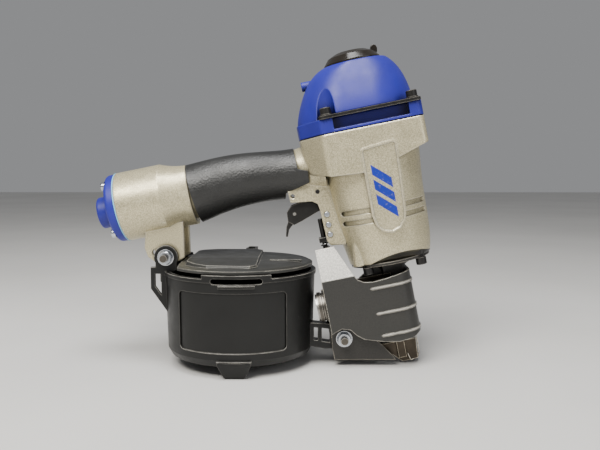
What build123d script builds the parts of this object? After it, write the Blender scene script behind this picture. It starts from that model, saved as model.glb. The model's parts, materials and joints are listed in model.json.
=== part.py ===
from build123d import *
import os
from math import cos, sin, tan, radians, pi, atan2, degrees

os.makedirs("parts", exist_ok=True)

# ---------------------------------------------------------------- driving dimensions (mm, degrees)
tilt = 11.5                 # lean of the drive axis behind the vertical
drive_x = 142.0             # where the drive axis meets the floor, forward of the drum's axis

bore_r = 22.0               # drive cylinder bore
sleeve_r = 25.0             # cylinder sleeve outside
chamber_r = 29.5            # air chamber round the sleeve
body_bottom = 89.0          # bottom face of the housing, measured up the drive axis
body_top = 196.2            # housing face under the cap gasket
cap_bottom = 197.0
flange_top = 208.0          # cap flange that the guard bars lie on
cap_top = 249.6
stroke = 61.5               # drive piston travel
blade_r = 2.9
channel_r = 3.6

handle_w = 173.0            # height of the handle's axis up the drive axis
canister_r = 28.4
canister_rear = -208.0

trigger_pin_u = -48.6
trigger_pin_w = 153.9
ear_half = 14.0             # outside face of the trigger bracket ears
valve_u = -60.0

nose_bolt_u = (-21.0, 22.0)
nose_bolt_v = 21.0
foot_travel = 8.0
foot_r = 8.0
foot_bottom = foot_r * tan(radians(tilt))

feed_v = -17.0              # feed cylinder axis
feed_w = 61.5
feed_r = 12.3
feed_stroke = 12.0

drum_r = 62.0               # magazine can outside radius at the rim
drum_h = 77.0
wall = 3.2
lid_pin_x = -50.0
lid_pin_y = 38.0
lid_latch_at = (5.3, 53.0)   # pivot of the lid's catch, on the far side of the lid

rear_bolt = (-58.5, 88.5)   # magazine rear bolt, world x and z
front_bolt_uw = (-51.0, 33.5)

c_t = cos(radians(tilt))
s_t = sin(radians(tilt))
DRIVE = Plane(origin=(drive_x, 0, 0), x_dir=(c_t, 0, s_t), z_dir=(-s_t, 0, c_t))


def to_world(u, w):
    return (drive_x + u * c_t - w * s_t, u * s_t + w * c_t)


def to_drive(x, z):
    return ((x - drive_x) * c_t + z * s_t, -(x - drive_x) * s_t + z * c_t)


def save_drive(shape, node):
    """Stand a part drawn about the upright drive axis at the tool's lean and write it."""
    placed = shape.moved(DRIVE.location)
    placed.label = node
    export_step(placed, "parts/" + node + ".step")


def save_world(shape, node):
    shape.label = node
    export_step(shape, "parts/" + node + ".step")


def coil(centre, radius, wire, bottom, top, turns):
    """Round-wire compression spring standing on +Z between two heights."""
    pitch = (top - bottom - wire) / turns
    with BuildPart() as spring:
        with BuildLine(Plane(origin=(centre[0], centre[1], bottom + wire / 2))) as path:
            Helix(pitch=pitch, height=top - bottom - wire, radius=radius)
        start = path.line @ 0
        with BuildSketch(Plane(origin=start, z_dir=path.line % 0)) as section:
            Circle(wire / 2)
        sweep(is_frenet=True)
    return spring.part


# ---------------------------------------------------------------- main housing casting
def make_housing():
    screw_at = [(-31, -37.5), (36, -37.5), (-31, 37.5), (36, 37.5)]
    ellipses = ((89, 0, 33.5, 32.5), (110, -0.2, 36.8, 34.5), (131, -1.4, 38.6, 36.5), (166, -1, 40.5, 38.0),
                (196.2, -0.8, 42.2, 39.0))
    with BuildPart() as shell_inside:
        for w, u, a, b in ellipses:
            with BuildSketch(Plane.XY.offset(w)):
                with Locations((u, 0)):
                    Ellipse(a - 1.7, b - 1.7)
        loft()
    with BuildPart() as grooves:
        for u, w, length in ((-21, 132.5, 25), (-21, 124.3, 25), (23.2, 131.9, 22), (23.2, 124, 22)):
            with BuildSketch(Plane.XZ.offset(44)):
                with Locations((u, w)):
                    SlotOverall(length, 4.2)
            extrude(amount=-29.5)
        mirror(about=Plane.XZ)
        add(shell_inside.part, mode=Mode.SUBTRACT)

    with BuildPart() as housing:
        # lower barrel, swelling upwards
        for w, u, a, b in ellipses:
            with BuildSketch(Plane.XY.offset(w)):
                with Locations((u, 0)):
                    Ellipse(a, b)
        loft()
        # square head block that carries the cap
        with BuildPart(mode=Mode.PRIVATE) as block:
            with BuildSketch(Plane.XY.offset(158)):
                with BuildLine():
                    Polyline((-55, 0), (-54, -17), (-37, -41), (40, -41), (42.6, -37), (43, 0),
                             (42.6, 37), (40, 41), (-37, 41), (-54, 17), close=True)
                make_face()
            extrude(amount=body_top - 158)
            fillet(block.edges().filter_by(Axis.Z), 5)
            # slanting underside and the barrel-side step
            with BuildSketch(Plane.XZ.offset(60)):
                with BuildLine():
                    Polyline((-70, 150), (60, 150), (60, 181), (39.5, 175.2), (17.4, 168.5),
                             (-12.6, 162.1), (-36.5, 164), (-50, 168), (-70, 186), close=True)
                make_face()
            extrude(amount=-120, mode=Mode.SUBTRACT)
        add(block.part)
        # small boss that runs down the rear of the barrel
        for side in (-1, 1):
            with BuildSketch(Plane.XY.offset(89)):
                with Locations((-27, side * 20)):
                    Circle(5.2)
            extrude(amount=22, taper=8)
        # neck between head and grip
        with BuildSketch(Plane.YZ.offset(-72)):
            with Locations((0, handle_w)):
                Ellipse(15.5, 16.2)
        with BuildSketch(Plane.YZ.offset(-58)):
            with Locations((0, handle_w)):
                Ellipse(17.5, 18.6)
        with BuildSketch(Plane.YZ.offset(-40)):
            with Locations((0, handle_w + 1)):
                Ellipse(24, 21.5)
        loft()
        # grip core
        for u, w, hw, hh in ((-152, 172.0, 18.0, 21.6), (-124, 174.6, 15.6, 19.6), (-96, 175.0, 14.8, 17.8),
                             (-60, 173.0, 14.6, 15.4)):
            with BuildSketch(Plane.YZ.offset(u)):
                with Locations((0, w)):
                    Ellipse(hw, hh)
        loft()
        # rear canister and its shoulder
        with BuildSketch(Plane.YZ.offset(canister_rear)):
            with Locations((0, handle_w)):
                Circle(canister_r)
        extrude(amount=36)
        with BuildSketch(Plane.YZ.offset(-172)):
            with Locations((0, handle_w)):
                Circle(canister_r)
        with BuildSketch(Plane.YZ.offset(-161)):
            with Locations((0, handle_w - 0.8)):
                Ellipse(24.5, 25.6)
        with BuildSketch(Plane.YZ.offset(-150)):
            with Locations((0, 171.6)):
                Ellipse(20.4, 24.9)
        loft()
        # two hanger ears for the magazine, under the canister
        for v in (12, -16):
            with BuildSketch(Plane.XZ.offset(-v)):
                with BuildLine():
                    Polyline((-191, 152), (-195, 137), (-193.8, 129.5), (-188.5, 124), (-181, 119.8),
                             (-174, 119.8), (-165, 123), (-160, 152), close=True)
                make_face()
                fillet(ear_corners(), 3)
            extrude(amount=-4)
        # trigger bracket ears
        for v in (10, -14):
            with BuildSketch(Plane.XZ.offset(-v)):
                with BuildLine():
                    Polyline((-72.4, 163), (-71.6, 149.4), (-54.5, 147.2), (-50.2, 144), (-49.4, 138),
                             (-48.8, 113), (-46.4, 109), (-34.5, 107.4), (-30, 120), (-30, 163),
                             close=True)
                make_face()
            extrude(amount=-4)
        # boss for the trigger valve
        with BuildSketch(Plane.XY.offset(152.5)):
            with Locations((valve_u, 0)):
                Circle(9.3)
        extrude(amount=10.5)
        # ---- cuts
        add(grooves.part, mode=Mode.SUBTRACT)
        # raised tongue panels on both flanks, each with a slim raised rim
        for side, grow in ((30, 11.2), (-30, -11.2)):
            with BuildSketch(Plane.XZ.offset(side)) as panel:
                with BuildLine():
                    Polyline((-10.8, 180.5), (18, 183), (15.2, 128), (13.5, 120.5), (8.5, 114.6), (2, 112.4),
                             (-4.8, 114.2), (-9.6, 119.6), (-11.2, 128), close=True)
                make_face()
                fillet(panel.vertices().group_by(Axis.Y)[-1] + panel.vertices().group_by(Axis.Y)[-2], 3)
            extrude(amount=grow)
            with BuildSketch(Plane.XZ.offset(side + grow)) as inset:
                with BuildLine():
                    Polyline((-9.2, 178.9), (16.4, 181.2), (13.6, 128), (12.1, 121.4), (7.8, 116.1), (2, 114.1),
                             (-4.0, 115.7), (-8.1, 120.3), (-9.6, 128), close=True)
                make_face()
                fillet(inset.vertices().group_by(Axis.Y)[-1] + inset.vertices().group_by(Axis.Y)[-2], 2)
            extrude(amount=-0.9 if side > 0 else 0.9, mode=Mode.SUBTRACT)
        # main chamber, left open at the top, with the seat ring for the sleeve
        with BuildSketch(Plane.XY.offset(96)):
            Circle(chamber_r)
        extrude(amount=32, mode=Mode.SUBTRACT)
        with BuildSketch(Plane.XY.offset(127)):
            Circle(sleeve_r)
        extrude(amount=10, mode=Mode.SUBTRACT)
        with BuildSketch(Plane.XY.offset(134)):
            Circle(chamber_r)
        extrude(amount=70, mode=Mode.SUBTRACT)
        with BuildSketch(Plane.XY.offset(80)):
            Circle(17)
        extrude(amount=20, mode=Mode.SUBTRACT)
        # air reservoir through the handle
        with BuildSketch(Plane.YZ.offset(canister_rear - 1)):
            with Locations((0, handle_w)):
                Circle(19.6)
        extrude(amount=32, mode=Mode.SUBTRACT)
        with BuildSketch(Plane.YZ.offset(canister_rear)):
            with Locations((0, handle_w)):
                Circle(11.5)
        extrude(amount=185, mode=Mode.SUBTRACT)
        # trigger valve bore and the pocket that clears the trigger's pivot end
        with BuildSketch(Plane.XY.offset(145)):
            with Locations((valve_u, 0)):
                Circle(7.5)
        extrude(amount=24, mode=Mode.SUBTRACT)
        with BuildSketch(Plane.XY.offset(145)):
            with Locations((-48.9, 0)):
                Rectangle(16.2, 19.98)
        extrude(amount=14.5, mode=Mode.SUBTRACT)
        with BuildSketch(Plane.XZ.offset(30)):
            with Locations((trigger_pin_u, trigger_pin_w)):
                Circle(1.75)
            with Locations((-69, 154.2)):
                Circle(1.75)
            for u, w in ((-44.7, 134.5), (-45.0, 126.0), (-45.2, 118.0)):
                with Locations((u, w)):
                    Circle(1.6)
            with Locations(to_drive(*rear_bolt)):
                Circle(3.1)
            with Locations((-186.6, 131.6)):
                Circle(3.1)
        extrude(amount=-60, mode=Mode.SUBTRACT)
        # threaded holes for cap, nose and end cap screws
        with BuildSketch(Plane.XY.offset(176)):
            for p in screw_at:
                with Locations(p):
                    Circle(2.5)
        extrude(amount=30, mode=Mode.SUBTRACT)
        with BuildSketch(Plane.XY.offset(80)):
            for u in nose_bolt_u:
                for v in (-nose_bolt_v, nose_bolt_v):
                    with Locations((u, v)):
                        Circle(2.5)
        extrude(amount=23, mode=Mode.SUBTRACT)
        with BuildSketch(Plane.YZ.offset(canister_rear - 1)):
            for v in (-14.5, 14.5):
                for dw in (-19.2, 19.2):
                    with Locations((v, handle_w + dw)):
                        Circle(2)
        extrude(amount=12, mode=Mode.SUBTRACT)
        # arched relief across the bottom of both flanks
        with BuildSketch(Plane.XZ.offset(45)):
            with Locations((8, 34)):
                Circle(61)
        extrude(amount=-20, mode=Mode.SUBTRACT)
        with BuildSketch(Plane.XZ.offset(-25)):
            with Locations((8, 34)):
                Circle(61)
        extrude(amount=-20, mode=Mode.SUBTRACT)
    return housing.part


def ear_corners():
    context = BuildSketch._get_context()
    return context.vertices().group_by(Axis.Y)[0]


housing_part = make_housing()
save_drive(housing_part, "main_housing")


# ---------------------------------------------------------------- rubber grip sleeve
def make_grip():
    with BuildPart() as core:
        for u, w, hw, hh in ((-152, 172.0, 18.0, 21.6), (-124, 174.6, 15.6, 19.6), (-96, 175.0, 14.8, 17.8),
                             (-60, 173.0, 14.6, 15.4)):
            with BuildSketch(Plane.YZ.offset(u)):
                with Locations((0, w)):
                    Ellipse(hw, hh)
        loft()
    with BuildPart() as grip:
        for u, w, hw, hh in ((-162, 171.0, 21.6, 25.6), (-150, 171.8, 20.6, 24.8), (-124, 174.8, 18.4, 22.8),
                             (-96, 175.0, 17.6, 21.0), (-50, 172.4, 21.4, 20.6)):
            with BuildSketch(Plane.YZ.offset(u)):
                with Locations((0, w)):
                    Ellipse(hw, hh)
        loft()
        # slanted rear seam and the tab that reaches forward under the head
        with BuildSketch(Plane.XZ.offset(30)) as outline:
            with BuildLine():
                Polyline((-151.5, 205), (-145.5, 140), (-80, 140), (-74, 157.6), (-53.5, 162.4),
                         (-53, 172), (-60.5, 175), (-61.5, 205), close=True)
            make_face()
        extrude(amount=-60, mode=Mode.INTERSECT)
        add(core.part, mode=Mode.SUBTRACT)
        add(housing_part, mode=Mode.SUBTRACT)
    # keep the sleeve itself
    return grip.part.solids().sort_by(SortBy.VOLUME)[-1]


grip_part = Part(make_grip().wrapped)
save_drive(grip_part, "grip_sleeve")


# ---------------------------------------------------------------- cylinder cap and what sits on it
screw_at = [(-31, -37.5), (36, -37.5), (-31, 37.5), (36, 37.5)]


def cap_plan(grow):
    Polygon((-55 - grow, 0), (-54 - grow, -17), (-37, -40.6 - grow), (40, -40.6 - grow), (42.6 + grow, -37),
            (43 + grow, 0), (42.6 + grow, 37), (40, 40.6 + grow), (-37, 40.6 + grow), (-54 - grow, 17),
            align=None)


with BuildPart() as cap_gasket:
    with BuildSketch(Plane.XY.offset(body_top)):
        cap_plan(-0.8)
        Circle(chamber_r + 1, mode=Mode.SUBTRACT)
        for p in screw_at:
            with Locations(p):
                Circle(2.5, mode=Mode.SUBTRACT)
    extrude(amount=cap_bottom - body_top)
save_drive(cap_gasket.part, "cap_gasket")

with BuildPart() as cap:
    with BuildSketch(Plane.XY.offset(cap_bottom)):
        cap_plan(0)
    extrude(amount=flange_top - cap_bottom)
    fillet(cap.edges().filter_by(Axis.Z), 4.5)
    # dome
    for w, u, length, width, r in ((flange_top - 6, -6.1, 97.0, 80.6, 36), (flange_top + 9, -5.1, 92.6, 77.0, 34),
                                   (228, -3.7, 85.6, 70.0, 31), (239, -2.2, 74.6, 60.0, 27),
                                   (246, -0.8, 63.0, 52.4, 24.5), (cap_top, 0.8, 53.0, 48.4, 23.6)):
        with BuildSketch(Plane.XY.offset(w)):
            with Locations((u, 0)):
                RectangleRounded(length, width, r)
    loft()
    # corner pockets over the screws, slots for the guard bars, recessed band below them
    with BuildSketch(Plane.XY.offset(flange_top)):
        for p in screw_at:
            with Locations(p):
                Circle(7.6)
    extrude(amount=50, mode=Mode.SUBTRACT)
    for side in (-1, 1):
        with BuildSketch(Plane.XY.offset(flange_top)):
            with Locations((3, side * 42)):
                Rectangle(82, 19.4)
        extrude(amount=2.6, mode=Mode.SUBTRACT)
        with BuildSketch(Plane.XY.offset(199)):
            with Locations((2.5, side * 40.5)):
                Rectangle(59, 14)
        extrude(amount=9, mode=Mode.SUBTRACT)
    # small plugged port at the rear
    with BuildSketch(Plane.YZ.offset(-44.5)):
        with Locations((0, 239.4)):
            Circle(3.8)
    extrude(amount=12)
    # cavity, guide boss for the head valve and exhaust ways
    with BuildSketch(Plane.XY.offset(cap_bottom)):
        Circle(chamber_r)
    extrude(amount=31, mode=Mode.SUBTRACT)
    with BuildSketch(Plane.XY.offset(200)):
        Circle(12)
    extrude(amount=30)
    with BuildSketch(Plane.XY.offset(199)):
        Circle(8)
    extrude(amount=41, mode=Mode.SUBTRACT)
    with BuildSketch(Plane.XY.offset(239)):
        with PolarLocations(9.4, 4, start_angle=45):
            Circle(3.4)
    extrude(amount=20, mode=Mode.SUBTRACT)
    with BuildSketch(Plane.XY.offset(230)):
        Circle(2)
    extrude(amount=25, mode=Mode.SUBTRACT)
    with BuildSketch(Plane.XY.offset(190)):
        for p in screw_at:
            with Locations(p):
                Circle(2.5)
    extrude(amount=30, mode=Mode.SUBTRACT)
save_drive(cap.part, "cylinder_cap")

with BuildPart() as guard_bars:
    for side in (-1, 1):
        with BuildSketch(Plane.XY.offset(flange_top)):
            with Locations((2.5, side * 37.7)):
                RectangleRounded(79, 10, 3)
            for u in (-31, 36):
                with Locations((u, side * 37.5)):
                    Circle(2.5, mode=Mode.SUBTRACT)
        extrude(amount=2.5)
save_drive(guard_bars.part, "cap_guard_bars")

with BuildPart() as cap_washers:
    with BuildSketch(Plane.XY.offset(flange_top + 2.5)):
        for p in screw_at:
            with Locations(p):
                Circle(4.9)
                Circle(2.5, mode=Mode.SUBTRACT)
    extrude(amount=1)
save_drive(cap_washers.part, "cap_washers")

with BuildPart() as cap_screws:
    with BuildSketch(Plane.XY.offset(flange_top + 3.5)):
        for p in screw_at:
            with Locations(p):
                Circle(4.25)
    extrude(amount=5)
    chamfer(cap_screws.faces().sort_by(Axis.Z)[-4:].edges(), 0.4)
    with BuildSketch(Plane.XY.offset(180)):
        for p in screw_at:
            with Locations(p):
                Circle(2.5)
    extrude(amount=flange_top + 3.5 - 180)
    with BuildSketch(Plane.XY.offset(flange_top + 6)):
        for p in screw_at:
            with Locations(p):
                RegularPolygon(2.3, 6)
    extrude(amount=3, mode=Mode.SUBTRACT)
save_drive(cap_screws.part, "cap_screws")

with BuildPart() as deflector:
    with BuildSketch(Plane.XZ):
        with BuildLine():
            Polyline((2.05, 250.0), (2.05, 257.6), (4.6, 257.6), (4.6, 260.0), (13, 259.2), (19.4, 256.2),
                     (23.2, 251.4), (23.2, 250.0), (21.2, 250.0), (20.6, 251.6), (17.6, 254.8),
                     (12.4, 257.0), (5.2, 257.4), (5.2, 250.0), close=True)
        make_face()
    revolve(axis=Axis.Z)
    # exhaust mouth, and the finger tab above it
    with BuildSketch(Plane.XY.offset(250.9)):
        with Locations((18, 0)):
            Rectangle(14, 17)
    extrude(amount=3.2, mode=Mode.SUBTRACT)
    with BuildSketch(Plane.XZ.offset(3)):
        with BuildLine():
            Polyline((15.5, 257), (16.8, 260.4), (18.8, 261.3), (20.8, 260.5), (21.7, 258.2), (21.2, 255.0),
                     (19, 255.4), close=True)
        make_face()
    extrude(amount=-6)
save_drive(deflector.part, "exhaust_deflector")

with BuildPart() as deflector_screw:
    with BuildSketch(Plane.XY.offset(257.7)):
        Circle(4.2)
    extrude(amount=2)
    fillet(deflector_screw.faces().sort_by(Axis.Z)[-1].edges(), 0.8)
    with BuildSketch(Plane.XY.offset(241)):
        Circle(2)
    extrude(amount=17)
    with BuildSketch(Plane.XY.offset(258.4)):
        RegularPolygon(1.6, 6)
    extrude(amount=3, mode=Mode.SUBTRACT)
save_drive(deflector_screw.part, "deflector_screw")

# ---------------------------------------------------------------- head valve
with BuildPart() as head_valve:
    with BuildSketch(Plane.XZ):
        with BuildLine():
            Polyline((8, 186.5), (27.2, 186.5), (27.2, 192), (15.4, 192), (15.4, 214), (12.06, 214),
                     (12.06, 190), (8, 190), close=True)
        make_face()
    revolve(axis=Axis.Z)
    with BuildSketch(Plane.XZ):
        with Locations((27.0, 189.2)):
            Rectangle(1.6, 2.2)
    revolve(axis=Axis.Z, mode=Mode.SUBTRACT)
save_drive(head_valve.part, "head_valve")

with BuildPart() as head_valve_ring:
    with BuildSketch(Plane.XZ):
        with Locations((27.8, 189.2)):
            Rectangle(3.1, 2.1)
    revolve(axis=Axis.Z)
save_drive(head_valve_ring.part, "head_valve_ring")

save_drive(coil((0, 0), 21, 2.2, 192.1, 227.9, 5), "head_valve_spring")

# ---------------------------------------------------------------- drive cylinder, piston and blade
with BuildPart() as sleeve:
    with BuildSketch(Plane.XY.offset(96)):
        Circle(sleeve_r)
        Circle(bore_r, mode=Mode.SUBTRACT)
    extrude(amount=90)
    # ring of return-air ports near the bottom
    with BuildSketch(Plane.XZ):
        with Locations((0, 118)):
            Circle(2)
    extrude(amount=40, both=True, mode=Mode.SUBTRACT)
    with BuildSketch(Plane.YZ):
        with Locations((0, 118)):
            Circle(2)
    extrude(amount=40, both=True, mode=Mode.SUBTRACT)
    # seal groove at the seat ring
    with BuildSketch(Plane.XZ):
        with Locations((sleeve_r, 130.5)):
            Rectangle(2.0, 2.4)
    revolve(axis=Axis.Z, mode=Mode.SUBTRACT)
save_drive(sleeve.part, "cylinder_sleeve")

with BuildPart() as sleeve_seal:
    with BuildSketch(Plane.XZ):
        with Locations((sleeve_r - 0.5, 130.5)):
            Rectangle(0.98, 2.3)
    revolve(axis=Axis.Z)
save_drive(sleeve_seal.part, "sleeve_seal")

with BuildPart() as piston:
    with BuildSketch(Plane.XY.offset(172)):
        Circle(bore_r - 0.35)
    extrude(amount=12)
    with BuildSketch(Plane.XZ):
        with Locations((bore_r - 1, 178)):
            Rectangle(2.4, 3)
    revolve(axis=Axis.Z, mode=Mode.SUBTRACT)
    with BuildSketch(Plane.XY.offset(176)):
        Circle(14)
    extrude(amount=8, mode=Mode.SUBTRACT)
    with BuildSketch(Plane.XY.offset(170)):
        Circle(blade_r)
    extrude(amount=10, mode=Mode.SUBTRACT)
save_drive(piston.part, "drive_piston")

with BuildPart() as piston_ring:
    with BuildSketch(Plane.XY.offset(176.6)):
        Circle(bore_r - 0.06)
        Circle(bore_r - 2.2, mode=Mode.SUBTRACT)
    extrude(amount=2.8)
save_drive(piston_ring.part, "piston_ring")

with BuildPart() as blade:
    with BuildSketch(Plane.XY.offset(70)):
        Circle(blade_r)
    extrude(amount=106)
    with BuildSketch(Plane.XY.offset(176)):
        Circle(5.5)
    extrude(amount=3)
save_drive(blade.part, "driver_blade")

with BuildPart() as bumper:
    with BuildSketch(Plane.XY.offset(96)):
        Circle(bore_r - 0.05)
        Circle(3.6, mode=Mode.SUBTRACT)
    extrude(amount=14)
    chamfer(bumper.faces().sort_by(Axis.Z)[-1].edges().sort_by(SortBy.LENGTH)[-1], 4, 5)
save_drive(bumper.part, "piston_bumper")

# ---------------------------------------------------------------- rear end cap with the air inlet
with BuildPart() as end_gasket:
    with BuildSketch(Plane.YZ.offset(canister_rear - 0.8)):
        with Locations((0, handle_w)):
            Circle(canister_r + 0.1)
            Circle(17.4, mode=Mode.SUBTRACT)
        for v in (-14.5, 14.5):
            for dw in (-19.2, 19.2):
                with Locations((v, handle_w + dw)):
                    Circle(2, mode=Mode.SUBTRACT)
    extrude(amount=0.8)
save_drive(end_gasket.part, "end_cap_gasket")

with BuildPart() as end_cap:
    with BuildSketch(Plane.YZ.offset(-216.5)):
        with Locations((0, handle_w)):
            Circle(canister_r - 0.6)
    extrude(amount=7.7)
    fillet(end_cap.faces().sort_by(Axis.X)[0].edges(), 3)
    with BuildSketch(Plane.YZ.offset(-228)):
        with Locations((0, handle_w - 1.5)):
            Circle(13)
    extrude(amount=12)
    fillet(end_cap.faces().sort_by(Axis.X)[0].edges(), 1.5)
    with BuildSketch(Plane.YZ.offset(-229)):
        with Locations((0, handle_w - 1.5)):
            Circle(5.7)
    extrude(amount=13, mode=Mode.SUBTRACT)
    with BuildSketch(Plane.YZ.offset(-216)):
        with Locations((0, handle_w - 1.5)):
            Circle(10)
    extrude(amount=9, mode=Mode.SUBTRACT)
    # flats under the screw heads and their holes
    with BuildSketch(Plane.YZ.offset(-219)):
        for v in (-14.5, 14.5):
            for dw in (-19.2, 19.2):
                with Locations((v, handle_w + dw)):
                    Circle(4.4)
    extrude(amount=3.6, mode=Mode.SUBTRACT)
    with BuildSketch(Plane.YZ.offset(-219)):
        for v in (-14.5, 14.5):
            for dw in (-19.2, 19.2):
                with Locations((v, handle_w + dw)):
                    Circle(2)
    extrude(amount=12, mode=Mode.SUBTRACT)
save_drive(end_cap.part, "end_cap")

with BuildPart() as end_screws:
    for v in (-14.5, 14.5):
        for dw in (-19.2, 19.2):
            with BuildSketch(Plane.YZ.offset(-219.0)):
                with Locations((v, handle_w + dw)):
                    Circle(3.8)
            extrude(amount=3.6)
            with BuildSketch(Plane.YZ.offset(-215.4)):
                with Locations((v, handle_w + dw)):
                    Circle(2)
            extrude(amount=18)
    fillet(end_screws.faces().filter_by(Axis.X).group_by(Axis.X)[0].edges(), 1.5)
    with BuildSketch(Plane.YZ.offset(-220)):
        for v in (-14.5, 14.5):
            for dw in (-19.2, 19.2):
                with Locations((v, handle_w + dw)):
                    RegularPolygon(1.5, 6)
    extrude(amount=3, mode=Mode.SUBTRACT)
save_drive(end_screws.part, "end_cap_screws")

with BuildPart() as air_filter:
    with BuildSketch(Plane.YZ.offset(-216)):
        with Locations((0, handle_w - 1.5)):
            Circle(9.9)
            Circle(8.4, mode=Mode.SUBTRACT)
    extrude(amount=30)
    with BuildSketch(Plane.YZ.offset(-188)):
        with Locations((0, handle_w - 1.5)):
            Circle(9.9)
    extrude(amount=2)
save_drive(air_filter.part, "air_filter")

# ---------------------------------------------------------------- trigger group
with BuildPart() as trigger_pin:
    with BuildSketch(Plane.XZ.offset(ear_half + 0.4)):
        with Locations((trigger_pin_u, trigger_pin_w)):
            Circle(1.75)
    extrude(amount=-2 * ear_half - 0.8)
save_drive(trigger_pin.part, "trigger_pin")

with BuildPart() as nub_pins:
    for u, w in ((-44.7, 134.5), (-45.0, 126.0), (-45.2, 118.0)):
        with BuildSketch(Plane.XZ.offset(ear_half)):
            with Locations((u, w)):
                Circle(1.6)
        extrude(amount=-2 * ear_half)
        for y in (ear_half, -ear_half - 1.4):
            with BuildSketch(Plane.XZ.offset(y)):
                with Locations((u, w)):
                    Circle(2.4)
            extrude(amount=1.4)
    fillet(nub_pins.faces().filter_by(Axis.Y).group_by(Axis.Y)[0].edges(), 0.9)
    fillet(nub_pins.faces().filter_by(Axis.Y).group_by(Axis.Y)[-1].edges(), 0.9)
save_drive(nub_pins.part, "guide_rivets")

with BuildPart() as trigger:
    with BuildSketch(Plane.XZ.offset(9.5)):
        with BuildLine():
            Polyline((-44.8, 156.6), (-51.6, 157.2), (-55.8, 150.2), (-60.5, 148.4), (-72, 146.4),
                     (-76.4, 142), (-77, 134.5), (-72.6, 130.8), (-66, 132.6), (-46.6, 139.4), close=True)
        make_face()
    extrude(amount=-19)
    with BuildSketch(Plane.XZ.offset(8)):
        with BuildLine():
            Polyline((-40, 165), (-56, 165), (-76, 150), (-75.4, 135.2), (-72.4, 132.5), (-66, 134.3),
                     (-44, 142), close=True)
        make_face()
    extrude(amount=-16, mode=Mode.SUBTRACT)
    # curled tail
    with BuildSketch(Plane.XZ.offset(8.5)):
        with BuildLine():
            Polyline((-75.8, 136), (-79.2, 130.5), (-81.2, 122.6), (-79.6, 122.2), (-77.4, 127.8),
                     (-72, 132.6), (-72.6, 135.2), close=True)
        make_face()
    extrude(amount=-17)
    # slot for the lever's tip, pin holes
    with BuildSketch(Plane.XY.offset(128)):
        with Locations((-50.5, 0)):
            Rectangle(12, 15)
    extrude(amount=16, mode=Mode.SUBTRACT)
    with BuildSketch(Plane.XZ.offset(12)):
        with Locations((trigger_pin_u, trigger_pin_w)):
            Circle(1.8)
        with Locations((-70.5, 139.6)):
            Circle(1.25)
    extrude(amount=-24, mode=Mode.SUBTRACT)
save_drive(trigger.part, "trigger")

with BuildPart() as lever_pin:
    with BuildSketch(Plane.XZ.offset(9.7)):
        with Locations((-70.5, 139.6)):
            Circle(1.25)
    extrude(amount=-19.4)
save_drive(lever_pin.part, "lever_pin")

with BuildPart() as lever:
    with BuildSketch(Plane.XZ.offset(6.9)):
        with BuildLine():
            Polyline((-72.4, 138.4), (-48.6, 140.2), (-48.6, 141.6), (-68, 141.4), (-72.4, 141.4), close=True)
        make_face()
        with Locations((-70.5, 139.6)):
            Circle(2.4)
            Circle(1.3, mode=Mode.SUBTRACT)
    extrude(amount=-13.8)
save_drive(lever.part, "trigger_lever")

with BuildPart() as valve_body:
    with BuildSketch(Plane.XY.offset(152.5)):
        with Locations((valve_u, 0)):
            Circle(7.5)
            Circle(1.86, mode=Mode.SUBTRACT)
    extrude(amount=16.5)
    with BuildSketch(Plane.XY.offset(154)):
        with Locations((valve_u, 0)):
            Circle(4.2)
    extrude(amount=12, mode=Mode.SUBTRACT)
save_drive(valve_body.part, "trigger_valve_body")

with BuildPart() as valve_stem:
    with BuildSketch(Plane.XY.offset(144.6)):
        with Locations((valve_u, 0)):
            Circle(1.8)
    extrude(amount=21.4 - 2.6)
    with BuildSketch(Plane.XY.offset(154.4)):
        with Locations((valve_u, 0)):
            Circle(4.12)
    extrude(amount=3)
save_drive(valve_stem.part, "trigger_valve_stem")

save_drive(coil((valve_u, 0), 3.1, 0.7, 157.5, 165.9, 4), "trigger_valve_spring")

with BuildPart() as rod_guide:
    with BuildSketch(Plane.XY.offset(112)):
        with Locations((-44.3, 0)):
            Rectangle(8.4, 19.9)
    extrude(amount=16)
    with BuildSketch(Plane.XY.offset(112)):
        with Locations((-49.5, -5)):
            Rectangle(11, 8)
    extrude(amount=4)
    with BuildSketch(Plane.XY.offset(100)):
        with Locations((-51, -5)):
            Circle(2.05)
    extrude(amount=40, mode=Mode.SUBTRACT)
    with BuildSketch(Plane.XZ.offset(12)):
        for u, w in ((-44.7, 134.5), (-45.0, 126.0), (-45.2, 118.0)):
            with Locations((u, w)):
                Circle(1.6)
    extrude(amount=-24, mode=Mode.SUBTRACT)
    add(housing_part, mode=Mode.SUBTRACT)
save_drive(rod_guide.part, "rod_guide")


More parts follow.
